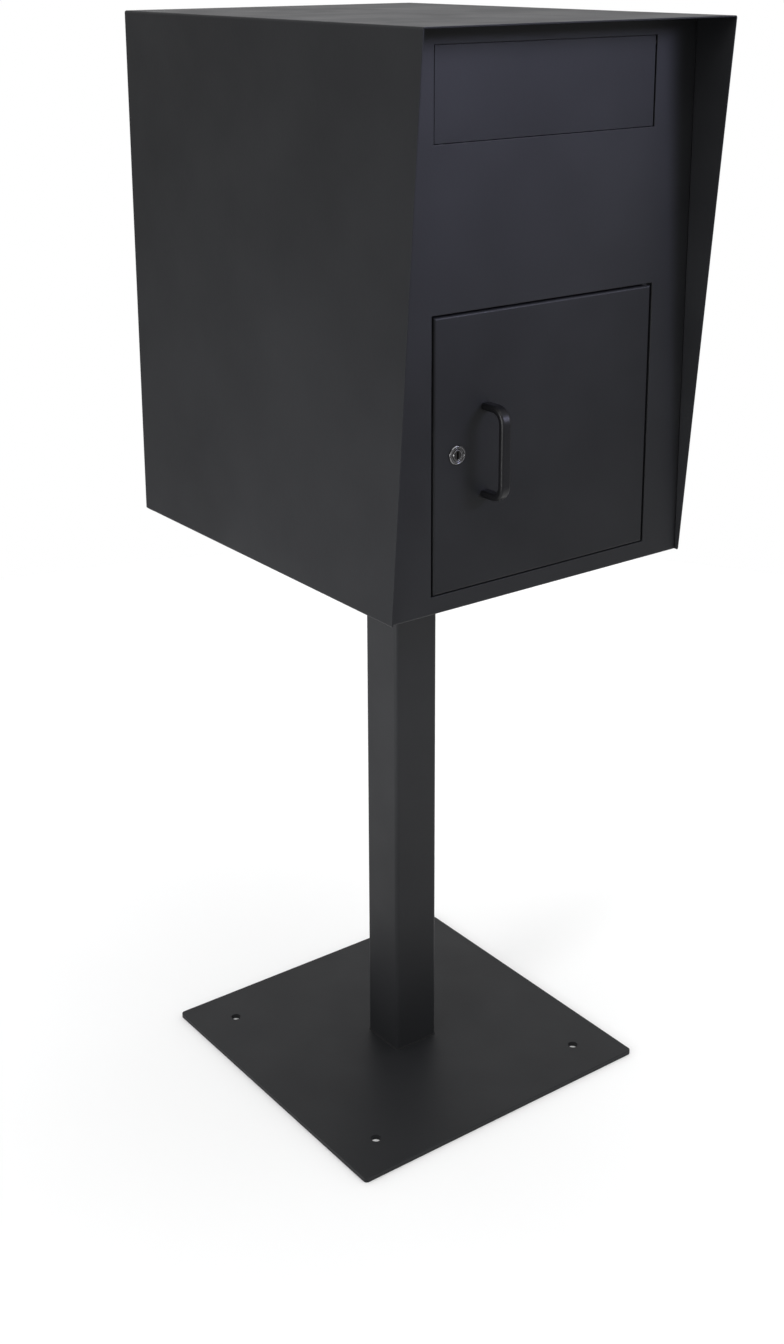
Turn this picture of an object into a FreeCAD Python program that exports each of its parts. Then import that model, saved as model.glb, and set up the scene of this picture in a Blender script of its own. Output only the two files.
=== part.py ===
import FreeCAD, Part
import math
import os

# Parcel drop box on a post. Millimetres. The origin is the centre of the base plate's underside,
# +Z is up, the doors face -Y and +X is to the right of a person who stands in front of them.

V = FreeCAD.Vector

# Overall sizes
overall_height = 1320.8
housing_width = 419.1
housing_height = 609.8
roof_depth = 571.5
bottom_depth = 519.3
back_y = 256.5
sheet = 1.5
housing_bend = 2.5
panel_bend = 2.0
return_width = 15.0
rim_radius = 0.4

# Stand
plate_side = 428.0
plate_thickness = 6.35
plate_corner_radius = 5.0
plate_edge_radius = 0.8
anchor_spacing = 320.0
anchor_hole_diameter = 12.7
post_side = 63.5
post_wall = 3.0
post_corner_radius = 5.0
post_bore_corner_radius = 2.5
weld_leg = 1.3
weld_land = 0.2
head_plate_side = 150.0
head_plate_thickness = 5.0
head_plate_corner_radius = 8.0

# Floor of the housing and its M8 bolts
floor_thickness = 2.0
floor_edge_gap = 0.3
floor_bolt_spacing = 110.0
floor_bolt_diameter = 8.0
floor_bolt_hole_diameter = 9.0
floor_bolt_head_height = 5.3
floor_washer_thickness = 1.6
floor_washer_diameter = 16.0
floor_nut_height = 6.5
floor_nut_flats = 13.0
floor_bolt_stick_out = 2.0

# Face panel
face_y = -258.7
face_return = 15.5
opening_edge_radius = 1.0

# Access door and its hinge
door_left = -151.6
door_right = 152.55
door_bottom = 731.8
door_top = 1031.1
door_depth = 16.0
door_bend = 2.8
gap_left = 2.8
gap_right = 2.4
gap_bottom = 0.6
gap_top = 2.1
frame_return = 20.0
hinge_inset = 6.0
hinge_pin_radius = 2.5
hinge_pin_head_radius = 4.2
hinge_pin_head_height = 2.0
hinge_pin_reach = 8.0
hinge_bush_radius = 4.0
bush_flange_radius = 4.4
bush_flange = 1.0
thrust_washer_radius = 4.6
thrust_washer_thickness = 0.3
running_clearance = 0.05
fixed_clearance = 0.02

# Door stops
stop_inset = 44.0
stop_width = 20.0
stop_reach = 14.0
bumper_radius = 5.0
bumper_overlap = 5.2
bumper_gap = 0.4
bumper_edge_radius = 0.8

# Drop flap, its rod, clips, spacer, stop strip and springs
flap_left = -152.3
flap_right = 146.55
flap_bottom = 1205.1
flap_top = 1300.4
flap_sheet = 1.2
flap_bend = 0.5
flap_gap_left = 0.35
flap_gap_right = 2.2
flap_gap_bottom = 0.6
flap_gap_top = 0.35
flap_ear_depth = 10.0
flap_ear_rise = 4.3
flap_lip_depth = 8.0
flap_frame_return = 14.0
flap_axis_drop = 7.5
rod_radius = 2.5
rod_stick_out = 5.0
rod_chamfer = 0.4
groove_radius = 1.9
clip_thickness = 0.8
clip_radius = 4.2
clip_mouth = 2.8
clip_stand_off = 1.0
spacer_radius = 4.5
strip_inset = 3.1
strip_clearance = 1.5
strip_top_gap = 3.5
spring_length = 9.0
spring_places = (-75.0, 60.0)
spring_outer = 4.05
spring_inner = 2.75
spring_wire = 0.5
spring_leg_inset = 1.3
spring_leg_down = 24.0
spring_leg_up = 15.0

# Handle, a bow of flat bar with round edges, and its screws
handle_x = -82.0
handle_pitch = 96.0
handle_width = 13.0
handle_thickness = 8.0
handle_reach = 31.0
handle_bend = 15.0
handle_edge_radius = 3.2
handle_screw_radius = 2.5
handle_screw_reach = 12.0
handle_screw_hole_clearance = 0.25
handle_bore_depth = 15.0
handle_head_radius = 4.75
handle_head_height = 3.0
handle_head_edge_radius = 1.6
handle_recess_floor = 1.4
handle_washer_radius = 6.0
handle_washer_thickness = 1.0

# Cam lock
lock_x = -121.0
lock_rise = 0.9
lock_bezel_radius = 10.6
lock_bezel_height = 2.0
lock_bezel_edge = 1.4
lock_barrel_radius = 9.0
lock_barrel_depth = 18.0
lock_bore_radius = 6.5
lock_plug_recess = 0.3
lock_plug_edge = 0.5
key_slot_width = 2.2
key_slot_height = 8.4
key_slot_depth = 12.0
lock_nut_flats = 24.0
lock_nut_height = 4.5
cam_reach = 44.0
cam_width = 16.0
cam_thickness = 2.0
cam_tip_radius = 4.0
cam_gap = 0.5
tail_half = 3.5
tail_step = 0.1
cam_screw_radius = 2.0
cam_screw_reach = 8.0
cam_screw_flats = 8.0
cam_screw_head = 2.8

# Chute
chute_slope = math.radians(30.0)
chute_top_z = 1200.0
chute_back_y = -20.0
chute_lip = 14.0

# Places worked out from the sizes above
half_width = housing_width / 2
inner_half = half_width - sheet
housing_bottom = overall_height - housing_height
roof_underside = overall_height - sheet
roof_front_y = back_y - roof_depth
bottom_front_y = back_y - bottom_depth
floor_bottom = housing_bottom + sheet
floor_top = floor_bottom + floor_thickness
post_top = floor_bottom - head_plate_thickness
face_inner_y = face_y + sheet
frame_back_y = face_y + frame_return
opening_left = door_left - gap_left
opening_right = door_right + gap_right
opening_bottom = door_bottom - gap_bottom
opening_top = door_top + gap_top
mid_door_z = (door_bottom + door_top) / 2
lock_z = mid_door_z + lock_rise
hinge_x = door_right - hinge_inset
hinge_y = face_y + hinge_inset
handle_feet = (mid_door_z - handle_pitch / 2, mid_door_z + handle_pitch / 2)
drop_left = flap_left - flap_gap_left
drop_right = flap_right + flap_gap_right
drop_bottom = flap_bottom - flap_gap_bottom
drop_top = flap_top + flap_gap_top
flap_axis_y = face_y + hinge_inset
flap_axis_z = flap_top - flap_axis_drop
rod_left_end = drop_left - sheet - rod_stick_out
rod_right_end = drop_right + sheet + rod_stick_out
clip_places = (
    drop_left - sheet - clip_stand_off - clip_thickness,
    drop_right + sheet + clip_stand_off,
)
cam_front_y = frame_back_y + cam_gap
cam_back_y = cam_front_y + cam_thickness
far = 2000.0


def box(x0, x1, y0, y1, z0, z1):
    return Part.makeBox(x1 - x0, y1 - y0, z1 - z0, V(x0, y0, z0))


def round_bar(start, end, radius):
    return Part.makeCylinder(radius, (end - start).Length, start, end - start)


def ring(start, end, outer, inner):
    return round_bar(start, end, outer).cut(round_bar(start, end, inner))


def prism(points, along):
    """A solid: the closed outline through the points, pushed along a vector."""
    return Part.Face(Part.makePolygon(points + points[:1])).extrude(along)


def hexagon(centre, along, across_flats):
    """A hexagonal prism that starts at centre and runs the length of along."""
    radius = across_flats / math.sqrt(3)
    side = V(1, 0, 0) if abs(along.x) < 1e-6 else V(0, 0, 1)
    other = along.cross(side)
    other.normalize()
    corners = []
    for step in range(6):
        angle = math.radians(60 * step)
        corners.append(centre + side * radius * math.cos(angle) + other * radius * math.sin(angle))
    return prism(corners, along)


def edges_in_plane(shape, axis, value):
    """The edges that lie in the plane where the coordinate called axis has this value."""
    low, high = axis + "Min", axis + "Max"
    found = []
    for edge in shape.Edges:
        reach = edge.BoundBox
        if abs(getattr(reach, low) - value) < 0.01 and abs(getattr(reach, high) - value) < 0.01:
            found.append(edge)
    return found


def edges_along(shape, axis):
    """The straight edges that run along one axis."""
    direction = {"X": V(1, 0, 0), "Y": V(0, 1, 0), "Z": V(0, 0, 1)}[axis]
    found = []
    for edge in shape.Edges:
        run = edge.Vertexes[-1].Point - edge.Vertexes[0].Point
        if run.Length > 0.01 and run.cross(direction).Length < 0.001 * run.Length:
            found.append(edge)
    return found


def rounded_square(side, radius, z):
    """A closed wire: a square with round corners, centred on the Z axis."""
    slab = box(-side / 2, side / 2, -side / 2, side / 2, z, z + 1)
    slab = slab.makeFillet(radius, edges_along(slab, "Z"))
    return Part.Wire(Part.sortEdges(edges_in_plane(slab, "Z", z))[0])


def group(shapes):
    """Several separate solids as one shape."""
    return Part.makeCompound(list(shapes))


def square_of_four(spacing):
    half = spacing / 2
    return [V(x, y, 0) for x in (-half, half) for y in (-half, half)]


# Stand


def base_plate():
    half = plate_side / 2
    plate = box(-half, half, -half, half, 0, plate_thickness)
    plate = plate.makeFillet(plate_corner_radius, edges_along(plate, "Z"))
    rim = edges_in_plane(plate, "Z", plate_thickness) + edges_in_plane(plate, "Z", 0)
    plate = plate.makeFillet(plate_edge_radius, rim)
    for spot in square_of_four(anchor_spacing):
        top = spot + V(0, 0, plate_thickness)
        plate = plate.cut(round_bar(spot, top, anchor_hole_diameter / 2))
    return plate


def post():
    length = V(0, 0, post_top - plate_thickness)
    outside = Part.Face(rounded_square(post_side, post_corner_radius, plate_thickness))
    bore_side = post_side - 2 * post_wall
    inside = Part.Face(rounded_square(bore_side, post_bore_corner_radius, plate_thickness))
    return outside.extrude(length).cut(inside.extrude(length))


def post_weld(root_z, toe_z):
    """A fillet weld round the post, from the plate at root_z to its toe on the post at toe_z."""
    foot = rounded_square(post_side + 2 * weld_leg, post_corner_radius + weld_leg, root_z)
    toe = rounded_square(post_side + 2 * weld_land, post_corner_radius + weld_land, toe_z)
    bead = Part.makeLoft([foot, toe], True, True)
    low = min(root_z, toe_z)
    core = Part.Face(rounded_square(post_side, post_corner_radius, low))
    return bead.cut(core.extrude(V(0, 0, abs(toe_z - root_z))))


def post_head_plate():
    half = head_plate_side / 2
    plate = box(-half, half, -half, half, post_top, floor_bottom)
    plate = plate.makeFillet(head_plate_corner_radius, edges_along(plate, "Z"))
    return with_floor_bolt_holes(plate)


def with_floor_bolt_holes(shape):
    for spot in square_of_four(floor_bolt_spacing):
        low = spot + V(0, 0, post_top - 1)
        high = spot + V(0, 0, floor_top + 1)
        shape = shape.cut(round_bar(low, high, floor_bolt_hole_diameter / 2))
    return shape


def chamfered_hexagon(seat, height, flats, full_end):
    """A hexagonal prism up from its seat, full size at full_end, its corners off at the other."""
    tip_radius, slope_radius = flats / 2 + 0.1, flats
    radii = (slope_radius, tip_radius) if full_end == "low" else (tip_radius, slope_radius)
    cone = Part.makeCone(*radii, height, seat)
    return hexagon(seat, V(0, 0, height), flats).common(cone)


def floor_fasteners():
    """Four bolts from below, each with a washer and a nut inside the housing."""
    radius = floor_bolt_diameter / 2
    bolts, washers, nuts = [], [], []
    for spot in square_of_four(floor_bolt_spacing):
        seat = spot + V(0, 0, post_top)
        head_low = seat - V(0, 0, floor_bolt_head_height)
        floor = spot + V(0, 0, floor_top)
        nut_seat = floor + V(0, 0, floor_washer_thickness)
        tip = nut_seat + V(0, 0, floor_nut_height + floor_bolt_stick_out)
        head = chamfered_hexagon(head_low, floor_bolt_head_height, floor_nut_flats, "high")
        bolts.append(head.fuse(round_bar(seat, tip, radius)))
        washers.append(ring(floor, nut_seat, floor_washer_diameter / 2, radius + 0.2))
        nut = chamfered_hexagon(nut_seat, floor_nut_height, floor_nut_flats, "low")
        nuts.append(nut.cut(round_bar(nut_seat, tip, radius + fixed_clearance)))
    return group(bolts), group(washers), group(nuts)


# Housing


def wing_edge_y(z):
    """Where the slanted front edge of the sides and roof is at a height."""
    return bottom_front_y + (roof_front_y - bottom_front_y) * (z - housing_bottom) / housing_height


def front_of_wings():
    """The space in front of the slanted front edge of the hood."""
    low_z, high_z = housing_bottom - 20, overall_height + 20
    outline = [
        V(-far, wing_edge_y(low_z), low_z),
        V(-far, wing_edge_y(high_z), high_z),
        V(-far, -far, high_z),
        V(-far, -far, low_z),
    ]
    return prism(outline, V(2 * far, 0, 0))


def hood_shell():
    """Roof and two sides from one sheet, with returns under the floor."""
    shell = box(-half_width, half_width, roof_front_y, back_y, housing_bottom, overall_height)
    shell = shell.makeFillet(housing_bend, edges_along(shell, "Y"))
    shell = shell.cut(box(-inner_half, inner_half, -far, far, floor_bottom, roof_underside))
    slot = inner_half - return_width
    low_z = housing_bottom - 1
    shell = shell.cut(box(-slot, slot, -far, far, low_z, floor_bottom + 1))
    front_end = face_y + face_return + 1.0
    back_end = back_y - return_width - 1.0
    shell = shell.cut(box(-inner_half, inner_half, -far, front_end, low_z, floor_bottom))
    shell = shell.cut(box(-inner_half, inner_half, back_end, far, low_z, floor_bottom))
    shell = shell.cut(front_of_wings())
    outer_rim = []
    for edge in shell.Edges:
        middle = edge.CenterOfMass
        on_rim = abs(middle.y - wing_edge_y(middle.z)) < 0.01
        outside = abs(abs(middle.x) - half_width) < 0.01 or abs(middle.z - overall_height) < 0.01
        if on_rim and outside:
            outer_rim.append(edge)
    return shell.makeFillet(rim_radius, outer_rim)


def tray(x0, x1, z0, z1, skin_y, open_y, thickness, bend):
    """A folded pan: a skin at skin_y with returns on its four sides that end at open_y."""
    y0, y1 = min(skin_y, open_y), max(skin_y, open_y)
    inward = 1 if open_y > skin_y else -1
    pan = box(x0, x1, y0, y1, z0, z1)
    pan = pan.makeFillet(bend, edges_in_plane(pan, "Y", skin_y))
    inner_y = skin_y + inward * thickness
    c0, c1 = min(inner_y, open_y + inward), max(inner_y, open_y + inward)
    hollow = box(x0 + thickness, x1 - thickness, c0, c1, z0 + thickness, z1 - thickness)
    return pan.cut(hollow)


def back_panel():
    end = back_y - return_width
    width = (-inner_half, inner_half)
    return tray(*width, housing_bottom, roof_underside, back_y, end, sheet, panel_bend)


def floor_panel():
    side = inner_half - sheet - floor_edge_gap
    panel = box(-side, side, face_inner_y + 0.2, back_y - sheet - 0.2, floor_bottom, floor_top)
    return with_floor_bolt_holes(panel)


def framed_opening(panel, x0, x1, z0, z1, depth, top_return):
    """Adds folded returns round an opening, then cuts it through the skin."""
    top = z1 + sheet if top_return else z1
    panel = panel.fuse(box(x0 - sheet, x1 + sheet, face_y, face_y + depth, z0 - sheet, top))
    panel = panel.cut(box(x0, x1, face_y - 1, face_y + depth + 1, z0, z1))
    return panel.removeSplitter()


def opening_edges(panel, x0, x1, z0, z1):
    """The front edges of one opening."""
    found = []
    for edge in edges_in_plane(panel, "Y", face_y):
        reach = edge.BoundBox
        inside_x = reach.XMin > x0 - 0.1 and reach.XMax < x1 + 0.1
        if inside_x and reach.ZMin > z0 - 0.1 and reach.ZMax < z1 + 0.1:
            found.append(edge)
    return found


def face_panel():
    """The front skin between the wings, with the door opening and the drop opening."""
    end = face_y + face_return
    width = (-inner_half, inner_half)
    panel = tray(*width, housing_bottom, roof_underside, face_y, end, sheet, panel_bend)
    door_hole = (opening_left, opening_right, opening_bottom, opening_top)
    drop_hole = (drop_left, drop_right, drop_bottom, drop_top)
    panel = framed_opening(panel, *door_hole, frame_return, True)
    panel = framed_opening(panel, *drop_hole, flap_frame_return, False)
    panel = panel.makeFillet(opening_edge_radius, opening_edges(panel, *door_hole))
    panel = panel.makeFillet(flap_bend, opening_edges(panel, *drop_hole))
    pin_hole = hinge_pin_radius + fixed_clearance
    low = V(hinge_x, hinge_y, opening_bottom - 5)
    high = V(hinge_x, hinge_y, opening_top + 5)
    panel = panel.cut(round_bar(low, high, pin_hole))
    rod_left = V(drop_left - 5, flap_axis_y, flap_axis_z)
    rod_right = V(drop_right + 5, flap_axis_y, flap_axis_z)
    return panel.cut(round_bar(rod_left, rod_right, rod_radius + fixed_clearance))


def parcel_chute():
    """A slide behind the drop opening: front apron, slope, turned-down lip and side returns."""
    run = chute_back_y - face_inner_y
    end_z = chute_top_z - run * math.tan(chute_slope)
    drop = sheet / math.cos(chute_slope)
    corner = sheet * math.tan(chute_slope) + drop
    front_y, back = face_inner_y, chute_back_y
    inside_corner = chute_top_z - corner + 0.2
    outline = [
        (front_y, chute_top_z),
        (back, end_z),
        (back, end_z - chute_lip),
        (back - sheet, end_z - chute_lip),
        (back - sheet, end_z - drop + sheet * math.tan(chute_slope)),
        (front_y + sheet, inside_corner),
        (front_y + sheet, chute_top_z - chute_lip),
        (front_y, chute_top_z - chute_lip),
    ]
    slide = prism([V(-inner_half, y, z) for y, z in outline], V(2 * inner_half, 0, 0))
    side_start = face_y + face_return + 1.0
    start_z = chute_top_z - (side_start - front_y) * math.tan(chute_slope)
    flank = [
        V(-inner_half, side_start, start_z - 0.5),
        V(-inner_half, back - 0.5, end_z - 0.5),
        V(-inner_half, back - 0.5, end_z - chute_lip),
        V(-inner_half, side_start, start_z - chute_lip),
    ]
    left_flank = prism(flank, V(sheet, 0, 0))
    right_flank = left_flank.copy()
    right_flank.translate(V(2 * inner_half - sheet, 0, 0))
    slide = slide.fuse([left_flank, right_flank])
    notch = inner_half - sheet - 0.5
    for x0, x1 in ((-far, -notch), (notch, far)):
        slide = slide.cut(box(x0, x1, face_y, side_start, chute_top_z - 60, chute_top_z + 5))
    return slide.removeSplitter()


# Access door


def access_door():
    """A folded pan, flush with the face panel."""
    outline = (door_left, door_right, door_bottom, door_top)
    pan = tray(*outline, face_y, face_y + door_depth, sheet, door_bend)
    behind = face_y + 5
    lock_front = V(lock_x, face_y - 1, lock_z)
    lock_back = V(lock_x, behind, lock_z)
    pan = pan.cut(round_bar(lock_front, lock_back, lock_barrel_radius + 0.1))
    hole_radius = handle_screw_radius + handle_screw_hole_clearance
    for z in handle_feet:
        front, back = V(handle_x, face_y - 1, z), V(handle_x, behind, z)
        pan = pan.cut(round_bar(front, back, hole_radius))
    low = V(hinge_x, hinge_y, door_bottom - 1)
    high = V(hinge_x, hinge_y, door_top + 1)
    return pan.cut(round_bar(low, high, hinge_bush_radius + fixed_clearance))


def door_handle():
    """Flat bar with round edges, bent into a bow, with a blind screw hole in each end."""
    low_z, high_z = handle_feet
    out_y = face_y - handle_reach
    r = handle_bend
    q = r * (1 - math.sqrt(0.5))

    def at(y, z):
        return V(handle_x, y, z)

    corner_top = Part.Arc(at(out_y + r, high_z), at(out_y + q, high_z - q), at(out_y, high_z - r))
    corner_low = Part.Arc(at(out_y, low_z + r), at(out_y + q, low_z + q), at(out_y + r, low_z))
    upper = Part.LineSegment(at(face_y, high_z), at(out_y + r, high_z))
    grip = Part.LineSegment(at(out_y, high_z - r), at(out_y, low_z + r))
    lower = Part.LineSegment(at(out_y + r, low_z), at(face_y, low_z))
    route = Part.Wire([c.toShape() for c in (upper, corner_top, grip, corner_low, lower)])
    x0, x1 = handle_x - handle_width / 2, handle_x + handle_width / 2
    half_t = handle_thickness / 2
    end = box(x0, x1, face_y - 1, face_y, high_z - half_t, high_z + half_t)
    end = end.makeFillet(handle_edge_radius, edges_along(end, "Y"))
    section = Part.Wire(Part.sortEdges(edges_in_plane(end, "Y", face_y))[0])
    bow = route.makePipeShell([section], True, True)
    for z in handle_feet:
        bow = bow.cut(round_bar(at(face_y, z), at(face_y - handle_bore_depth, z), handle_screw_radius))
    return bow


def cross_recess(y, z):
    """The cross-shaped hollow in a screw's head, open towards +Y from y."""
    long, short, depth = 2.6, 0.5, 3.0
    arms = []
    for half_x, half_z in ((long, short), (short, long)):
        arms.append(box(handle_x - half_x, handle_x + half_x, y, y + depth, z - half_z, z + half_z))
    return arms[0].fuse(arms[1])


def handle_fasteners():
    """Two pan-head screws from inside the door, each on a washer."""
    seat_y = face_inner_y + handle_washer_thickness
    top_y = seat_y + handle_head_height
    screws, washers = [], []
    for z in handle_feet:
        seat = V(handle_x, seat_y, z)
        head = round_bar(seat, V(handle_x, top_y, z), handle_head_radius)
        head = head.makeFillet(handle_head_edge_radius, edges_in_plane(head, "Y", top_y))
        head = head.cut(cross_recess(seat_y + handle_recess_floor, z))
        tip = V(handle_x, face_y - handle_screw_reach, z)
        screws.append(head.fuse(round_bar(seat, tip, handle_screw_radius - fixed_clearance)))
        inner = handle_screw_radius + 0.1
        washers.append(ring(V(handle_x, face_inner_y, z), seat, handle_washer_radius, inner))
    return group(screws), group(washers)


def on_hinge(z):
    return V(hinge_x, hinge_y, z)


def hinge_pin(head_z, tip_z):
    """A headed pin through a return of the door frame, from its head's seat to its tip."""
    outward = hinge_pin_head_height if head_z > tip_z else -hinge_pin_head_height
    seat = on_hinge(head_z)
    shank = round_bar(seat, on_hinge(tip_z), hinge_pin_radius)
    head = round_bar(seat, on_hinge(head_z + outward), hinge_pin_head_radius)
    return shank.fuse(head).removeSplitter()


def hinge_bush(flange_z, step_z, end_z):
    """A flanged bush: its flange from flange_z to step_z, its sleeve from there to end_z."""
    flange = round_bar(on_hinge(flange_z), on_hinge(step_z), bush_flange_radius)
    sleeve = round_bar(on_hinge(step_z), on_hinge(end_z), hinge_bush_radius)
    low, high = min(flange_z, end_z) - 1, max(flange_z, end_z) + 1
    bore = round_bar(on_hinge(low), on_hinge(high), hinge_pin_radius + running_clearance)
    return flange.fuse(sleeve).cut(bore).removeSplitter()


def hinge_bushes():
    """Both flanges are inside the door; the lower sleeve carries it on the thrust washer."""
    foot = opening_bottom + thrust_washer_thickness + running_clearance
    inside_low, inside_high = door_bottom + sheet, door_top - sheet
    lower = hinge_bush(inside_low + bush_flange, inside_low, foot)
    upper = hinge_bush(inside_high - bush_flange, inside_high, door_top + bush_flange / 2)
    return group([lower, upper])


def hinge_thrust_washer():
    low, high = on_hinge(opening_bottom), on_hinge(opening_bottom + thrust_washer_thickness)
    return ring(low, high, thrust_washer_radius, hinge_pin_radius + 0.1)


def door_stops():
    """Two angle tabs on the left return of the door frame, each with a rubber bumper."""
    plate_front = frame_back_y + 0.1
    plate_back = plate_front + sheet
    leg_front = face_y + 5
    x1 = opening_left - sheet
    x0 = x1 - sheet
    bumper_x = opening_left + bumper_overlap
    bumper_front = face_y + door_depth + bumper_gap
    tabs, bumpers = [], []
    for z in (door_bottom + stop_inset, door_top - stop_inset):
        z0, z1 = z - stop_width / 2, z + stop_width / 2
        leg = box(x0, x1, leg_front, plate_back, z0, z1)
        plate = box(x0, x1 + stop_reach, plate_front, plate_back, z0, z1)
        tabs.append(leg.fuse(plate).removeSplitter())
        start, end = V(bumper_x, bumper_front, z), V(bumper_x, plate_front, z)
        bumper = round_bar(start, end, bumper_radius)
        bumpers.append(bumper.makeFillet(bumper_edge_radius, edges_in_plane(bumper, "Y", bumper_front)))
    return group(tabs), group(bumpers)


# Cam lock


def lock_point(y):
    return V(lock_x, y, lock_z)


def lock_body():
    """Bezel and threaded barrel with a bore for the plug."""
    front, end = face_y - lock_bezel_height, face_y + lock_barrel_depth
    bezel = round_bar(lock_point(front), lock_point(face_y), lock_bezel_radius)
    bezel = bezel.makeFillet(lock_bezel_edge, edges_in_plane(bezel, "Y", front))
    barrel = round_bar(lock_point(face_y), lock_point(end), lock_barrel_radius)
    bore = round_bar(lock_point(front - 1), lock_point(end + 1), lock_bore_radius)
    return bezel.fuse(barrel).cut(bore).removeSplitter()


def lock_nut():
    seat, end = lock_point(face_inner_y), lock_point(face_inner_y + lock_nut_height)
    nut = hexagon(seat, end - seat, lock_nut_flats)
    return nut.cut(round_bar(seat, end, lock_barrel_radius + fixed_clearance))


def square_tail(half, y0, y1):
    """A square bar along the lock's axis."""
    return box(lock_x - half, lock_x + half, y0, y1, lock_z - half, lock_z + half)


def lock_plug():
    """Plug with a key slot in its face and a square tail for the cam."""
    front = face_y - lock_bezel_height + lock_plug_recess
    shoulder, end = cam_front_y - tail_step, cam_back_y - tail_step
    plug = round_bar(lock_point(front), lock_point(shoulder), lock_bore_radius - running_clearance)
    plug = plug.makeFillet(lock_plug_edge, edges_in_plane(plug, "Y", front))
    plug = plug.fuse(square_tail(tail_half, shoulder, end))
    half_w, half_h = key_slot_width / 2, key_slot_height / 2
    low_z, high_z = lock_z - half_h, lock_z + half_h
    plug = plug.cut(
        box(lock_x - half_w, lock_x + half_w, front - 1, front + key_slot_depth, low_z, high_z)
    )
    hole_end = cam_back_y - cam_screw_reach - 1
    return plug.cut(round_bar(lock_point(cam_back_y), lock_point(hole_end), cam_screw_radius))


def lock_cam():
    """Flat cam that points up when the door is unlocked."""
    half = cam_width / 2
    tip_z = lock_z + cam_reach
    blade = box(lock_x - half, lock_x + half, cam_front_y, cam_back_y, lock_z, tip_z)
    tip_corners = [e for e in edges_along(blade, "Y") if e.BoundBox.ZMin > tip_z - 1]
    blade = blade.makeFillet(cam_tip_radius, tip_corners)
    hub = round_bar(lock_point(cam_front_y), lock_point(cam_back_y), half)
    square = square_tail(tail_half + fixed_clearance, cam_front_y - 1, cam_back_y + 1)
    return blade.fuse(hub).removeSplitter().cut(square)


def lock_cam_screw():
    seat = lock_point(cam_back_y)
    head = hexagon(seat, V(0, cam_screw_head, 0), cam_screw_flats)
    tip = lock_point(cam_back_y - cam_screw_reach)
    return head.fuse(round_bar(seat, tip, cam_screw_radius - fixed_clearance))


# Drop flap


def on_rod(x):
    return V(x, flap_axis_y, flap_axis_z)


def drop_flap():
    """Folded sheet, hung by its two ears on the rod near its top edge."""
    ear_y = face_y + flap_ear_depth
    outline = (flap_left, flap_right, flap_bottom, flap_top)
    flap = tray(*outline, face_y, ear_y, flap_sheet, flap_bend)
    inner_y = face_y + flap_sheet
    inner_left, inner_right = flap_left + flap_sheet, flap_right - flap_sheet
    ear_top = flap_axis_z + flap_ear_rise
    flap = flap.cut(box(-far, far, inner_y, ear_y + 1, ear_top, flap_top + 1))
    lip_y = face_y + flap_lip_depth
    flap = flap.cut(box(inner_left, inner_right, lip_y, ear_y + 1, flap_bottom - 1, flap_axis_z))
    bore = round_bar(on_rod(flap_left - 1), on_rod(flap_right + 1), rod_radius + running_clearance)
    return flap.cut(bore)


def flap_hinge_rod():
    rod = round_bar(on_rod(rod_left_end), on_rod(rod_right_end), rod_radius)
    ends = edges_in_plane(rod, "X", rod_left_end) + edges_in_plane(rod, "X", rod_right_end)
    rod = rod.makeChamfer(rod_chamfer, ends)
    for x in clip_places:
        groove = ring(on_rod(x), on_rod(x + clip_thickness), 2 * rod_radius, groove_radius)
        rod = rod.cut(groove)
    return rod


def flap_rod_clips():
    """Two open retaining rings in the rod's grooves."""
    low_z, high_z = flap_axis_z - clip_mouth / 2, flap_axis_z + clip_mouth / 2
    play = running_clearance
    clips = []
    for x in clip_places:
        start, end = on_rod(x + play), on_rod(x + clip_thickness - play)
        clip = ring(start, end, clip_radius, groove_radius + fixed_clearance)
        mouth = box(x - 1, x + 2, flap_axis_y, flap_axis_y + clip_radius + 1, low_z, high_z)
        clips.append(clip.cut(mouth))
    return group(clips)


def flap_spacer():
    """The ring that keeps the flap against the left side of its opening."""
    start, end = on_rod(flap_right + 2 * running_clearance), on_rod(drop_right)
    return ring(start, end, spacer_radius, rod_radius + fixed_clearance)


def flap_stop_strip():
    """A flat strip behind the top edge of the flap, on the back of the face panel."""
    x0, x1 = flap_left + strip_inset, flap_right - strip_inset
    low_z = flap_axis_z + rod_radius + strip_clearance
    return box(x0, x1, face_inner_y, face_inner_y + sheet, low_z, roof_underside - strip_top_gap)


def flap_springs():
    """Two torsion springs on the rod, as sleeves with their two straight legs."""
    wall_y = flap_axis_y - (spring_outer + spring_inner) / 2
    off_flap = face_y + flap_sheet + spring_wire + 0.1
    off_strip = face_inner_y + sheet + spring_wire + 0.1
    springs = []
    for x in spring_places:
        sleeve = ring(on_rod(x), on_rod(x + spring_length), spring_outer, spring_inner)
        leg_x = x + spring_leg_inset
        root, foot = V(leg_x, wall_y, flap_axis_z), V(leg_x, off_flap, flap_axis_z - spring_leg_down)
        down = round_bar(root, foot, spring_wire)
        leg_x = x + spring_length - spring_leg_inset
        root = V(leg_x, off_strip, flap_axis_z + rod_radius + 0.1)
        up = round_bar(root, V(leg_x, off_strip, flap_axis_z + spring_leg_up), spring_wire)
        springs.append(sleeve.fuse([down, up]))
    return group(springs)


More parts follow.
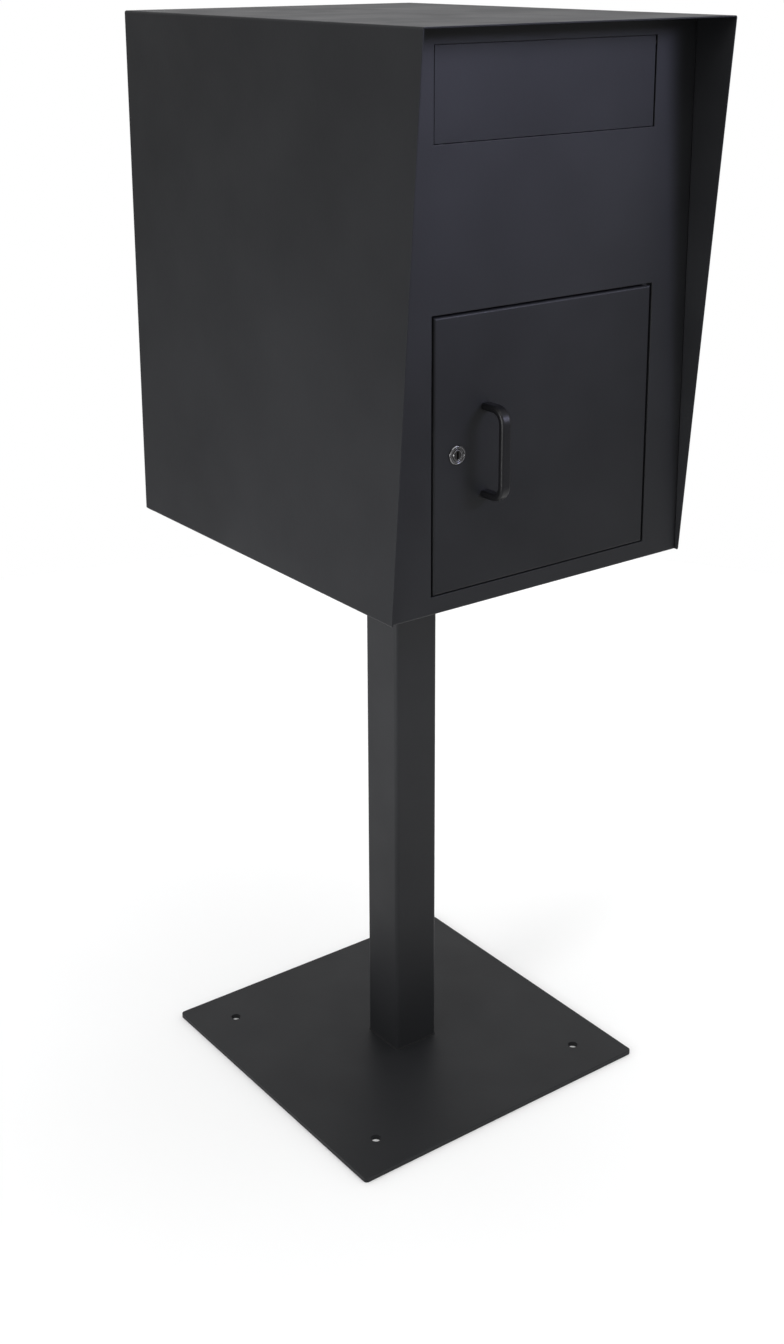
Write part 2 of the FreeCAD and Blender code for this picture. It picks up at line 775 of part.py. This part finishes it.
def build():
    bolts, washers, nuts = floor_fasteners()
    handle_screws, handle_washers = handle_fasteners()
    stop_tabs, bumpers = door_stops()
    return {
        "base_plate": base_plate(),
        "post": post(),
        "post_foot_weld": post_weld(plate_thickness, plate_thickness + weld_leg),
        "post_head_weld": post_weld(post_top, post_top - weld_leg),
        "post_head_plate": post_head_plate(),
        "floor_bolts": bolts,
        "floor_washers": washers,
        "floor_nuts": nuts,
        "hood_shell": hood_shell(),
        "back_panel": back_panel(),
        "floor_panel": floor_panel(),
        "face_panel": face_panel(),
        "parcel_chute": parcel_chute(),
        "access_door": access_door(),
        "door_handle": door_handle(),
        "handle_screws": handle_screws,
        "handle_washers": handle_washers,
        "hinge_pin_upper": hinge_pin(opening_top + sheet, door_top - hinge_pin_reach),
        "hinge_pin_lower": hinge_pin(opening_bottom - sheet, door_bottom + hinge_pin_reach),
        "hinge_bushes": hinge_bushes(),
        "hinge_thrust_washer": hinge_thrust_washer(),
        "door_stop_tabs": stop_tabs,
        "door_bumpers": bumpers,
        "lock_body": lock_body(),
        "lock_nut": lock_nut(),
        "lock_plug": lock_plug(),
        "lock_cam": lock_cam(),
        "lock_cam_screw": lock_cam_screw(),
        "drop_flap": drop_flap(),
        "flap_hinge_rod": flap_hinge_rod(),
        "flap_rod_clips": flap_rod_clips(),
        "flap_spacer": flap_spacer(),
        "flap_stop_strip": flap_stop_strip(),
        "flap_springs": flap_springs(),
    }


os.makedirs("parts", exist_ok=True)
for name, shape in build().items():
    if not shape.isValid():
        print("not valid:", name)
    shape.exportStep(os.path.join("parts", name + ".step"))
    print(name, len(shape.Solids), "solids,", round(shape.Volume), "mm3")
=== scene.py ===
import math

import bmesh
import bpy
from mathutils import Matrix, Vector


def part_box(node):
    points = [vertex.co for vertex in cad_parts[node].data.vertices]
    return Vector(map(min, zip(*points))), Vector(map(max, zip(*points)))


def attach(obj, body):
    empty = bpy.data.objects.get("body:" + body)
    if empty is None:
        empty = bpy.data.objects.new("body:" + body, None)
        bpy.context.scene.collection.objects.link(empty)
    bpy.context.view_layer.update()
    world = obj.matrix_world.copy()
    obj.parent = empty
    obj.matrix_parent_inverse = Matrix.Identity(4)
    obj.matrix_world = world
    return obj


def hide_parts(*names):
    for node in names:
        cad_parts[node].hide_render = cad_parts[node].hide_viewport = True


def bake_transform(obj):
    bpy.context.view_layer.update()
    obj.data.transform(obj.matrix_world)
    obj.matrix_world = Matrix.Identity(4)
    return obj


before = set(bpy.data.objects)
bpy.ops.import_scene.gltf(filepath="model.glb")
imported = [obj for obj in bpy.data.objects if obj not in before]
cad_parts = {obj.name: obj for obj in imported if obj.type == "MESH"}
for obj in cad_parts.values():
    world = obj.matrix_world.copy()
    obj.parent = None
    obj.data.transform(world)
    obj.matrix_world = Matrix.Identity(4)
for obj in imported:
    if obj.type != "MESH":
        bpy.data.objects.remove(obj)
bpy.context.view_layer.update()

# The looks of the parcel drop box: finishes of the CAD nodes, finer pieces for a few of them,
# the studio and the camera. Lengths are in metres.

MM = 0.001

# Powder coat: noise scales, depths of the bumps, shares of the mottling, spread of the roughness
CLOUD_SCALE = 5.0
PATCH_SCALE = 14.0
PEEL_SCALE = 260.0
GRAIN_SCALE = 900.0
PEEL_DEPTH = 0.00007
GRAIN_DEPTH = 0.00003
GRAIN_SHARE = 0.45
CLOUD_SHARE = 0.55
COAT_ROUGHNESS_SPREAD = 0.04

# Metal and plastic: scales of the clouds of shade, and spreads of the roughness
METAL_CLOUD_SCALE = 60.0
METAL_ROUGHNESS_SPREAD = 0.25
PLASTIC_CLOUD_SCALE = 90.0
PLASTIC_ROUGHNESS_SPREAD = 0.06

# Lock. The bezel's inner steps are corners from the bore outwards, and the plug's ring is corners
# from its rim inwards: distance, distance behind the front, rounding, all in millimetres
BEZEL_STEPS = (
    (0.0, 1.30, 0.0),
    (0.35, 0.75, 0.25),
    (1.25, 0.70, 0.25),
    (1.45, 1.15, 0.10),
    (1.75, 1.15, 0.10),
    (2.05, 0.10, 0.40),
)
BEZEL_EDGE_WIDTH = 0.80 * MM
BEZEL_EDGE_DEPTH = 0.95 * MM
BEZEL_FRONT_ROUNDING = 0.50 * MM
BEZEL_SIDE_ROUNDING = 0.60 * MM
PLUG_RING = (
    (0.55, 0.1, 0.0),
    (0.75, -0.25, 0.15),
    (1.35, -0.25, 0.15),
    (1.60, 0.1, 0.0),
)
BARREL_RADIUS = 9.0 * MM
BORE_GAP = 0.05 * MM
THREAD_START = 3.9 * MM
THREAD_PITCH = 1.0 * MM
THREAD_DEPTH = 0.5 * MM
# Corners of one ridge of the thread: share of the pitch, and 0 at the root or 1 at the crest
THREAD_RIDGE = ((0.0, 0), (0.42, 1), (0.58, 1))
LATHE_SEGMENTS = 96
ROUNDING_STEPS = 5
# The longest share of a run that the rounding of a corner may take
ROUNDING_LIMIT = 0.49

# Wafers in the key slot. The first one's place behind the front, the step to the next, their
# reach and its change are in millimetres, and the cuts follow a sine of so many radians a wafer
KEY_SLOT_HALF = 4.2 * MM
WAFER_COUNT = 4
WAFER_FIRST = 2.2
WAFER_STEP = 2.3
WAFER_REACH = 2.3
WAFER_REACH_CHANGE = 0.7
WAFER_CUT_ANGLE = 2.4
WAFER_WIDTH = 2.1 * MM
WAFER_THICKNESS = 0.8 * MM
WAFER_EDGE = 0.15 * MM

# Weld beads. A ripple bows back by a share of its pitch, and the swells are shares of the leg
POST_CORNER = 5.0 * MM
RIPPLE_PITCH = 1.6 * MM
STATIONS_PER_RIPPLE = 6
BEAD_STEPS = 8
RIPPLE_LAG = 0.35
RIPPLE_SHARPNESS = 0.7
BEAD_SWELL = 0.10
RIPPLE_SWELL = 0.14
SWELL_REACH = 0.7

# Springs of the flap
SPRING_LENGTH = 9.0 * MM
SPRING_LEG_INSET = 1.3 * MM
SPRING_RADIUS = 3.45 * MM
SPRING_WIRE = 0.5 * MM
SPRING_TURNS = 5
SPRING_STEPS_PER_TURN = 24
WIRE_SIDES = 12

# Studio
FLOOR_RADIUS = 2.0
FLOOR_SEGMENTS = 96
FLOOR_DROP = 0.1 * MM
FLOOR_SHADE = (0.96, 0.96, 0.96, 1)
FLOOR_ROUGHNESS = 0.9
FLOOR_SPECULAR = 0.1
# Brightness of the studio from straight down (0) through the horizon (0.5) to straight up (1)
SKY = ((0.30, 0.35), (0.42, 0.58), (0.50, 0.56), (0.62, 1.43), (0.75, 0.66), (1.0, 0.48))
BLUISH = (0.69, 0.70, 1.0)

# Camera: lens and sensor in millimetres, its place, the way it looks, and its clipping
LENS = 48.0045
SENSOR_WIDTH = 36.0
SHIFT_UP = -0.14993
EYE = (-1.24743, -1.66268, 1.39493)
AZIMUTH = math.radians(-36.583)
ELEVATION = math.radians(16.393)
ROLL = math.radians(-0.202)
NEAREST, FARTHEST = 0.05, 200.0


# Node helpers

# The sockets of a Mix node that is set to colours
MIX_FACTOR, MIX_DARK, MIX_LIGHT, MIX_RESULT = 0, 6, 7, 2


def new_material(name):
    material = bpy.data.materials.new(name)
    material.use_nodes = True
    tree = material.node_tree
    return material, tree, tree.nodes["Principled BSDF"]


def coordinates(tree):
    """Object coordinates, so that a finish moves with its part."""
    return tree.nodes.new("ShaderNodeTexCoord").outputs["Object"]


def noise(tree, place, scale, detail=3.0, roughness=0.55):
    node = tree.nodes.new("ShaderNodeTexNoise")
    node.inputs["Scale"].default_value = scale
    node.inputs["Detail"].default_value = detail
    node.inputs["Roughness"].default_value = roughness
    tree.links.new(place, node.inputs["Vector"])
    return node.outputs["Fac"]


def remap(tree, value, low, high, from_low=0.3, from_high=0.7):
    """Maps a range, by default the one that most noise keeps to, onto low to high."""
    node = tree.nodes.new("ShaderNodeMapRange")
    node.inputs["From Min"].default_value = from_low
    node.inputs["From Max"].default_value = from_high
    node.inputs["To Min"].default_value = low
    node.inputs["To Max"].default_value = high
    tree.links.new(value, node.inputs["Value"])
    return node.outputs["Result"]


def blend_colours(tree, factor, dark, light):
    node = tree.nodes.new("ShaderNodeMix")
    node.data_type = "RGBA"
    node.inputs[MIX_DARK].default_value = (*dark, 1)
    node.inputs[MIX_LIGHT].default_value = (*light, 1)
    tree.links.new(factor, node.inputs[MIX_FACTOR])
    return node.outputs[MIX_RESULT]


def add_bumps(tree, shader, layers):
    """Stacks bumps, each a height with its depth in metres, into the shader's normal."""
    normal = None
    for height, depth in layers:
        bump = tree.nodes.new("ShaderNodeBump")
        bump.inputs["Strength"].default_value = 1.0
        bump.inputs["Distance"].default_value = depth
        tree.links.new(height, bump.inputs["Height"])
        if normal is not None:
            tree.links.new(normal, bump.inputs["Normal"])
        normal = bump.outputs["Normal"]
    tree.links.new(normal, shader.inputs["Normal"])


# Materials


def powder_coat(name, dark, light, roughness, specular, cloud_shift=0.0):
    """Satin powder coat on sheet steel: faint mottling, fine grain and orange peel."""
    material, tree, shader = new_material(name)
    place = coordinates(tree)
    cloud = noise(tree, place, CLOUD_SCALE + cloud_shift, detail=2.0)
    grain = noise(tree, place, GRAIN_SCALE, detail=2.0, roughness=0.6)
    peel = noise(tree, place, PEEL_SCALE, detail=2.0)
    mixed = tree.nodes.new("ShaderNodeMath")
    mixed.operation = "MULTIPLY_ADD"
    mixed.inputs[1].default_value = GRAIN_SHARE
    tree.links.new(grain, mixed.inputs[0])
    tree.links.new(remap(tree, cloud, 0.0, CLOUD_SHARE), mixed.inputs[2])
    tree.links.new(blend_colours(tree, mixed.outputs[0], dark, light), shader.inputs["Base Color"])
    patches = noise(tree, place, PATCH_SCALE)
    spread = COAT_ROUGHNESS_SPREAD
    uneven = remap(tree, patches, roughness - spread, roughness + spread)
    tree.links.new(uneven, shader.inputs["Roughness"])
    shader.inputs["Specular IOR Level"].default_value = specular
    add_bumps(tree, shader, [(peel, PEEL_DEPTH), (grain, GRAIN_DEPTH)])
    return material


def metal(name, dark, light, roughness, grain_scale, scratch_depth):
    """Bare or plated metal with fine marks."""
    material, tree, shader = new_material(name)
    shader.inputs["Metallic"].default_value = 1.0
    place = coordinates(tree)
    marks = noise(tree, place, grain_scale, detail=4.0, roughness=0.65)
    cloud = noise(tree, place, METAL_CLOUD_SCALE)
    tree.links.new(blend_colours(tree, cloud, dark, light), shader.inputs["Base Color"])
    spread = METAL_ROUGHNESS_SPREAD
    uneven = remap(tree, marks, roughness * (1 - spread), roughness * (1 + spread))
    tree.links.new(uneven, shader.inputs["Roughness"])
    add_bumps(tree, shader, [(marks, scratch_depth)])
    return material


def plastic(name, dark, light, roughness, grain_scale, depth, specular):
    """Moulded nylon or rubber with a fine spark-eroded grain."""
    material, tree, shader = new_material(name)
    place = coordinates(tree)
    grain = noise(tree, place, grain_scale, roughness=0.6)
    cloud = noise(tree, place, PLASTIC_CLOUD_SCALE)
    tree.links.new(blend_colours(tree, cloud, dark, light), shader.inputs["Base Color"])
    spread = PLASTIC_ROUGHNESS_SPREAD
    uneven = remap(tree, grain, roughness - spread, roughness + spread)
    tree.links.new(uneven, shader.inputs["Roughness"])
    shader.inputs["Specular IOR Level"].default_value = specular
    add_bumps(tree, shader, [(grain, depth)])
    return material


# The dark and light shade that each finish varies between
COAT_DARK = (0.0085, 0.0088, 0.0100)
COAT_LIGHT = (0.0145, 0.0150, 0.0165)
STAND_DARK = (0.0095, 0.0099, 0.0110)
STAND_LIGHT = (0.0161, 0.0167, 0.0185)
# Door coat: painted shade, the housing's coat made about 8% darker so the lower front comes out
# dimmer
DOOR_SHADED_DARK = (0.0078, 0.0081, 0.0092)
DOOR_SHADED_LIGHT = (0.0133, 0.0138, 0.0152)
HANDLE_DARK = (0.003, 0.003, 0.0035)
HANDLE_LIGHT = (0.006, 0.006, 0.007)
# Weld coat: painted shade, about half as bright as the stand's coat, for the dark seams round the
# post's ends
WELD_SHADED_DARK = (0.0045, 0.0046, 0.0050)
WELD_SHADED_LIGHT = (0.0090, 0.0092, 0.0098)
# Chrome and nickel: painted shade, far darker than the bare metals, so that the lock's reflections
# come out dim
CHROME_SHADED_DARK = (0.13, 0.13, 0.135)
CHROME_SHADED_LIGHT = (0.20, 0.20, 0.205)
NICKEL_SHADED_DARK = (0.04, 0.04, 0.04)
NICKEL_SHADED_LIGHT = (0.08, 0.08, 0.08)
ZINC_DARK = (0.42, 0.44, 0.47)
ZINC_LIGHT = (0.62, 0.64, 0.66)
WIRE_DARK = (0.16, 0.16, 0.17)
WIRE_LIGHT = (0.30, 0.30, 0.31)
OXIDE_DARK = (0.02, 0.02, 0.022)
OXIDE_LIGHT = (0.05, 0.05, 0.052)
NYLON_DARK = (0.012, 0.012, 0.012)
NYLON_LIGHT = (0.022, 0.022, 0.022)
RUBBER_DARK = (0.010, 0.010, 0.010)
RUBBER_LIGHT = (0.020, 0.020, 0.020)

# Each slot of the record and its finish. After the two shades, coats have roughness, specular
# level and shift of the clouds; metals have roughness, scale and depth of their marks; plastics
# have roughness, scale and depth of their grain, and specular level
FINISHES = {
    "powder_coat_stand": powder_coat("coat_on_stand", STAND_DARK, STAND_LIGHT, 0.50, 0.20),
    "powder_coat_housing": powder_coat("coat_on_housing", COAT_DARK, COAT_LIGHT, 0.50, 0.12, 1.3),
    "powder_coat_face": powder_coat("coat_on_face", COAT_DARK, COAT_LIGHT, 0.48, 0.16, 2.1),
    # The door takes the darker copy of the coat, with painted shade
    "powder_coat_door": powder_coat("door_coat_with_painted_shade", DOOR_SHADED_DARK, DOOR_SHADED_LIGHT, 0.46, 0.15, 3.4),
    "handle_black": powder_coat("coat_on_handle", HANDLE_DARK, HANDLE_LIGHT, 0.36, 0.20),
    # The lock's chrome and nickel carry painted shade in their dark shades
    "lock_chrome": metal("lock_chrome", CHROME_SHADED_DARK, CHROME_SHADED_LIGHT, 0.07, 700.0, 0.000004),
    "plug_nickel": metal("plug_nickel", NICKEL_SHADED_DARK, NICKEL_SHADED_LIGHT, 0.16, 900.0, 0.000008),
    "zinc_steel": metal("zinc_plate", ZINC_DARK, ZINC_LIGHT, 0.36, 500.0, 0.00001),
    "spring_steel": metal("spring_wire", WIRE_DARK, WIRE_LIGHT, 0.32, 900.0, 0.000006),
    "blackened_steel": metal("black_oxide", OXIDE_DARK, OXIDE_LIGHT, 0.42, 900.0, 0.000006),
    "nylon": plastic("nylon", NYLON_DARK, NYLON_LIGHT, 0.48, 1400.0, 0.00001, 0.4),
    "rubber": plastic("rubber", RUBBER_DARK, RUBBER_LIGHT, 0.78, 1600.0, 0.00003, 0.3),
}
# Painted shade: a darker copy of the stand's coat for the weld beads
WELD_SHADED_FINISH = powder_coat("weld_coat_with_painted_shade", WELD_SHADED_DARK, WELD_SHADED_LIGHT, 0.55, 0.14, 0.7)

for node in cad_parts.values():
    for slot in node.material_slots:
        slot.material = FINISHES[slot.material.name]


# Pieces that take the place of plain CAD nodes, or add to them


def piece_from(shape, name, slot_name, sharp_degrees=35.0, finish=None):
    """A smooth-shaded object from a bmesh, in the finish of its slot unless one is given."""
    mesh = bpy.data.meshes.new(name)
    bmesh.ops.recalc_face_normals(shape, faces=shape.faces)
    shape.to_mesh(mesh)
    shape.free()
    mesh.materials.append(finish or FINISHES[slot_name])
    for face in mesh.polygons:
        face.use_smooth = True
    mesh.set_sharp_from_angle(angle=math.radians(sharp_degrees))
    piece = bpy.data.objects.new(name, mesh)
    bpy.context.scene.collection.objects.link(piece)
    return piece


def skin_rings(shape, rings, closed_path):
    """Quads between successive rings of points; each ring is a closed loop."""
    loops = [[shape.verts.new(point) for point in ring] for ring in rings]
    count = len(loops) if closed_path else len(loops) - 1
    for index in range(count):
        here, ahead = loops[index], loops[(index + 1) % len(loops)]
        for k in range(len(here)):
            after = (k + 1) % len(here)
            shape.faces.new((here[k], here[after], ahead[after], ahead[k]))
    if not closed_path:
        shape.faces.new(loops[0])
        shape.faces.new(loops[-1])


def rounded_outline(corners):
    """The points of an outline of (x, y, radius) corners, each corner rounded by its radius."""
    points = []
    for index, (x, y, radius) in enumerate(corners):
        corner = Vector((x, y))
        if radius == 0:
            points.append(corner)
            continue
        before = Vector(corners[index - 1][:2]) - corner
        after = Vector(corners[(index + 1) % len(corners)][:2]) - corner
        half_turn = before.angle(after) / 2
        room = min(before.length, after.length) * ROUNDING_LIMIT
        back = min(radius / math.tan(half_turn), room)
        start, end = corner + before.normalized() * back, corner + after.normalized() * back
        for step in range(ROUNDING_STEPS + 1):
            t = step / ROUNDING_STEPS
            points.append(start * (1 - t) ** 2 + corner * 2 * t * (1 - t) + end * t**2)
    return points


def turned(name, outline, centre, slot_name):
    """A part turned about an axis along Y; the outline is (radius, distance behind centre)."""
    shape = bmesh.new()
    rings = []
    for index in range(LATHE_SEGMENTS):
        angle = 2 * math.pi * index / LATHE_SEGMENTS
        out = Vector((math.cos(angle), 0, math.sin(angle)))
        rings.append([centre + out * point.x + Vector((0, point.y, 0)) for point in outline])
    skin_rings(shape, rings, True)
    return piece_from(shape, name, slot_name)


def lock_barrel():
    """The lock's stepped bezel, its bore and its threaded barrel."""
    low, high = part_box("lock_body")
    centre = Vector(((low.x + high.x) / 2, low.y, (low.z + high.z) / 2))
    rim = (high.x - low.x) / 2
    bore = (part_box("lock_plug")[1].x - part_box("lock_plug")[0].x) / 2 + BORE_GAP
    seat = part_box("access_door")[0].y - low.y
    end = high.y - low.y
    bezel = [(bore, end, 0)]
    for out, behind, rounding in BEZEL_STEPS:
        bezel.append((bore + out * MM, behind * MM, rounding * MM))
    bezel.append((rim - BEZEL_EDGE_WIDTH, 0, BEZEL_FRONT_ROUNDING))
    bezel.append((rim, BEZEL_EDGE_DEPTH, BEZEL_SIDE_ROUNDING))
    bezel.append((rim, seat, 0))
    root = BARREL_RADIUS - THREAD_DEPTH
    outline = rounded_outline(bezel)
    outline.append(Vector((root, seat)))
    ridge = THREAD_START
    while ridge + THREAD_PITCH < end:
        for share, height in THREAD_RIDGE:
            radius = root + height * THREAD_DEPTH
            outline.append(Vector((radius, ridge + share * THREAD_PITCH)))
        ridge += THREAD_PITCH
    outline += [Vector((root, ridge)), Vector((root, end))]
    piece = turned("lock_bezel_and_barrel", outline, centre, "lock_chrome")
    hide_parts("lock_body")
    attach(piece, "door")


def plug_face_ring():
    """The raised ring round the face of the plug."""
    low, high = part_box("lock_plug")
    centre = Vector(((low.x + high.x) / 2, low.y, (low.z + high.z) / 2))
    radius = (high.x - low.x) / 2
    section = []
    for inset, behind, rounding in PLUG_RING:
        section.append((radius - inset * MM, behind * MM, rounding * MM))
    piece = turned("plug_face_ring", rounded_outline(section), centre, "lock_chrome")
    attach(piece, "lock_core")


def key_wafers():
    """The edges of the wafers that cross the key slot behind its mouth."""
    low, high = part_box("lock_plug")
    x, z = (low.x + high.x) / 2, (low.z + high.z) / 2
    shape = bmesh.new()
    for index in range(WAFER_COUNT):
        y = low.y + (WAFER_FIRST + WAFER_STEP * index) * MM
        reach = (WAFER_REACH + WAFER_REACH_CHANGE * math.sin(WAFER_CUT_ANGLE * index)) * MM
        for side in (-1, 1):
            middle = z + side * (KEY_SLOT_HALF - reach / 2)
            sizes = (WAFER_WIDTH, WAFER_THICKNESS, reach)
            place = Matrix.LocRotScale((x, y, middle), None, sizes)
            wafer = bmesh.ops.create_cube(shape, size=1.0, matrix=place)
            edges = list(dict.fromkeys(e for vert in wafer["verts"] for e in vert.link_edges))
            bmesh.ops.bevel(shape, geom=edges, offset=WAFER_EDGE, segments=2, affect="EDGES")
    piece = piece_from(shape, "key_wafers", "plug_nickel")
    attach(piece, "lock_core")


def weld_bead(name, node, root_is_low):
    """A rippled fillet weld round the post in the space of the plain CAD bead."""
    low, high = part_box(node)
    post_low, post_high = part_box("post")
    half = (post_high.x - post_low.x) / 2
    leg = high.z - low.z
    root, up = (low.z, 1) if root_is_low else (high.z, -1)
    straight = half - POST_CORNER
    corner_length = POST_CORNER * math.pi / 2
    side_length = 2 * straight
    around = 4 * (side_length + corner_length)
    stations = round(around / (RIPPLE_PITCH / STATIONS_PER_RIPPLE))
    rings = []
    for index in range(stations):
        place = around * index / stations
        quarter, along = divmod(place, side_length + corner_length)
        if along < side_length:
            spot, out = Vector((half, along - straight)), Vector((1, 0))
        else:
            turn = (along - side_length) / POST_CORNER
            out = Vector((math.cos(turn), math.sin(turn)))
            spot = Vector((straight, straight)) + out * POST_CORNER
        turned_by = Matrix.Rotation(quarter * math.pi / 2, 2)
        spot, out = turned_by @ spot, turned_by @ out
        ring = []
        for step in range(BEAD_STEPS + 1):
            t = step / BEAD_STEPS
            crescent = place - RIPPLE_LAG * RIPPLE_PITCH * math.sin(math.pi * t)
            wave = abs(math.sin(math.pi * crescent / RIPPLE_PITCH)) ** RIPPLE_SHARPNESS
            swell = math.sin(math.pi * t) * leg * (BEAD_SWELL + RIPPLE_SWELL * wave)
            away = min(leg * (1 - t) + swell * SWELL_REACH, leg)
            rise = min(leg * t + swell * SWELL_REACH, leg)
            ring.append(Vector((*(spot + out * away), root + up * rise)))
        ring.append(Vector((*spot, root)))
        rings.append(ring)
    shape = bmesh.new()
    skin_rings(shape, rings, True)
    # The bead takes the darker weld coat, which paints the seam's shade
    piece = piece_from(shape, name, "powder_coat_stand", 50.0, WELD_SHADED_FINISH)
    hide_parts(node)
    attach(piece, "cabinet")


def tube(shape, points, radius):
    """A round wire along a path of points, with flat ends."""
    rings = []
    side = None
    for index, point in enumerate(points):
        ahead = points[min(index + 1, len(points) - 1)] - points[max(index - 1, 0)]
        ahead.normalize()
        side = ahead.orthogonal() if side is None else side - ahead * side.dot(ahead)
        side.normalize()
        other = ahead.cross(side)
        ring = []
        for k in range(WIRE_SIDES):
            angle = 2 * math.pi * k / WIRE_SIDES
            ring.append(point + (side * math.cos(angle) + other * math.sin(angle)) * radius)
        rings.append(ring)
    skin_rings(shape, rings, False)


def torsion_spring(name, start_x, axis_y, axis_z):
    """A wound spring on the flap's rod: one leg down the flap, one up behind its stop strip."""
    low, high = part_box("flap_springs")
    coil = SPRING_RADIUS
    first_x, last_x = start_x + SPRING_LEG_INSET, start_x + SPRING_LENGTH - SPRING_LEG_INSET
    points = [Vector((first_x, low.y + SPRING_WIRE, low.z + SPRING_WIRE))]
    steps = SPRING_TURNS * SPRING_STEPS_PER_TURN
    for step in range(steps + 1):
        t = step / steps
        angle = math.pi + 2 * math.pi * SPRING_TURNS * t
        spot = (math.cos(angle) * coil, math.sin(angle) * coil)
        x = first_x + (last_x - first_x) * t
        points.append(Vector((x, axis_y + spot[0], axis_z + spot[1])))
    points.append(Vector((last_x, axis_y - coil, high.z)))
    shape = bmesh.new()
    tube(shape, points, SPRING_WIRE)
    return piece_from(shape, name, "spring_steel"), first_x, last_x


def torsion_springs():
    """The two springs, one at each end of the plain CAD springs, which are hidden."""
    low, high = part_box("flap_springs")
    rod_low, rod_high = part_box("flap_hinge_rod")
    axis_y, axis_z = (rod_low.y + rod_high.y) / 2, (rod_low.z + rod_high.z) / 2
    starts = (low.x, high.x - SPRING_LENGTH)
    for name, start_x in zip(("left_spring", "right_spring"), starts):
        piece, first_x, last_x = torsion_spring(name, start_x, axis_y, axis_z)
        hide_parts("flap_springs")
        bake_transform(piece)


lock_barrel()
plug_face_ring()
key_wafers()
weld_bead("foot_weld", "post_foot_weld", True)
weld_bead("head_weld", "post_head_weld", False)
torsion_springs()


# Floor, light and camera


def floor():
    """A pale round floor; past its rim the studio is white to the eye."""
    mesh = bpy.data.meshes.new("floor")
    shape = bmesh.new()
    bmesh.ops.create_circle(shape, cap_ends=True, segments=FLOOR_SEGMENTS, radius=FLOOR_RADIUS)
    shape.to_mesh(mesh)
    shape.free()
    ground = bpy.data.objects.new("floor", mesh)
    bpy.context.scene.collection.objects.link(ground)
    material, tree, shader = new_material("floor_paper")
    shader.inputs["Base Color"].default_value = FLOOR_SHADE
    shader.inputs["Roughness"].default_value = FLOOR_ROUGHNESS
    shader.inputs["Specular IOR Level"].default_value = FLOOR_SPECULAR
    mesh.materials.append(material)
    ground.location.z = -FLOOR_DROP


def aim(thing, place, target):
    """Puts a lamp at a place and turns it to shine at its target."""
    thing.location = place
    thing.rotation_euler = (Vector(target) - Vector(place)).to_track_quat("-Z", "Y").to_euler()


def softbox(name, place, target, size, power, spread, colour=(1, 1, 1)):
    """A rectangular studio lamp whose beam is as wide as its spread, in degrees."""
    light = bpy.data.lights.new(name, "AREA")
    light.shape = "RECTANGLE"
    light.size, light.size_y = size
    light.spread = math.radians(spread)
    light.energy = power
    light.color = colour
    lamp = bpy.data.objects.new(name, light)
    bpy.context.scene.collection.objects.link(lamp)
    aim(lamp, place, target)


def studio_world():
    """White all round to the eye; as a light it is dim below the horizon and bright above it."""
    world = bpy.data.worlds.new("studio")
    bpy.context.scene.world = world
    world.use_nodes = True
    tree = world.node_tree
    tree.nodes.clear()
    output = tree.nodes.new("ShaderNodeOutputWorld")
    seen = tree.nodes.new("ShaderNodeBackground")
    lighting = tree.nodes.new("ShaderNodeBackground")
    chooser = tree.nodes.new("ShaderNodeMixShader")
    path = tree.nodes.new("ShaderNodeLightPath")
    seen.inputs["Color"].default_value = (1, 1, 1, 1)
    seen.inputs["Strength"].default_value = 1.0
    place = tree.nodes.new("ShaderNodeTexCoord")
    split = tree.nodes.new("ShaderNodeSeparateXYZ")
    ramp = tree.nodes.new("ShaderNodeValToRGB")
    tree.links.new(place.outputs["Generated"], split.inputs["Vector"])
    height = remap(tree, split.outputs["Z"], 0.0, 1.0, -1.0, 1.0)
    tree.links.new(height, ramp.inputs["Fac"])
    points = ramp.color_ramp.elements
    for index, (spot, level) in enumerate(SKY):
        point = points[index] if index < 2 else points.new(spot)
        point.position = spot
        point.color = (level, level, level, 1)
    tree.links.new(ramp.outputs["Color"], lighting.inputs["Color"])
    lighting.inputs["Strength"].default_value = 1.0
    tree.links.new(path.outputs["Is Camera Ray"], chooser.inputs[0])
    tree.links.new(lighting.outputs[0], chooser.inputs[1])
    tree.links.new(seen.outputs[0], chooser.inputs[2])
    tree.links.new(chooser.outputs[0], output.inputs["Surface"])


def sun(name, direction, strength, angle):
    """A soft distant light; the angle is its width in degrees."""
    light = bpy.data.lights.new(name, "SUN")
    light.energy = strength
    light.angle = math.radians(angle)
    lamp = bpy.data.objects.new(name, light)
    bpy.context.scene.collection.objects.link(lamp)
    lamp.rotation_euler = Vector(direction).to_track_quat("-Z", "Y").to_euler()


def camera():
    data = bpy.data.cameras.new("camera")
    data.lens = LENS
    data.sensor_width = SENSOR_WIDTH
    data.shift_y = SHIFT_UP
    eye = bpy.data.objects.new("camera", data)
    bpy.context.scene.collection.objects.link(eye)
    level = math.cos(ELEVATION)
    back = Vector((math.sin(AZIMUTH) * level, -math.cos(AZIMUTH) * level, math.sin(ELEVATION)))
    turn = (-back).to_track_quat("-Z", "Y").to_matrix().to_4x4()
    eye.matrix_world = Matrix.Translation(EYE) @ turn @ Matrix.Rotation(ROLL, 4, "Z")
    data.clip_start, data.clip_end = NEAREST, FARTHEST
    bpy.context.scene.camera = eye


floor()
studio_world()
# The sun's direction, strength and angle, then each softbox's place, target, size, power, spread
# and colour
sun("overhead", (0.05, 0.1, -1), 1.50, 70.0)
softbox("front", (0.75, -1.9, 1.95), (-0.36, -0.26, 1.32), (1.3, 0.75), 5.2, 35.0, BLUISH)
softbox("left_front", (-2.3, -0.56, 1.75), (-0.21, -0.44, 1.20), (0.5, 0.5), 2.15, 48.0)
softbox("left_low", (-1.5, -0.4, 0.75), (-0.05, 0.0, 0.65), (0.8, 0.5), 2.2, 50.0)
camera()
bpy.context.scene.view_settings.view_transform = "Standard"
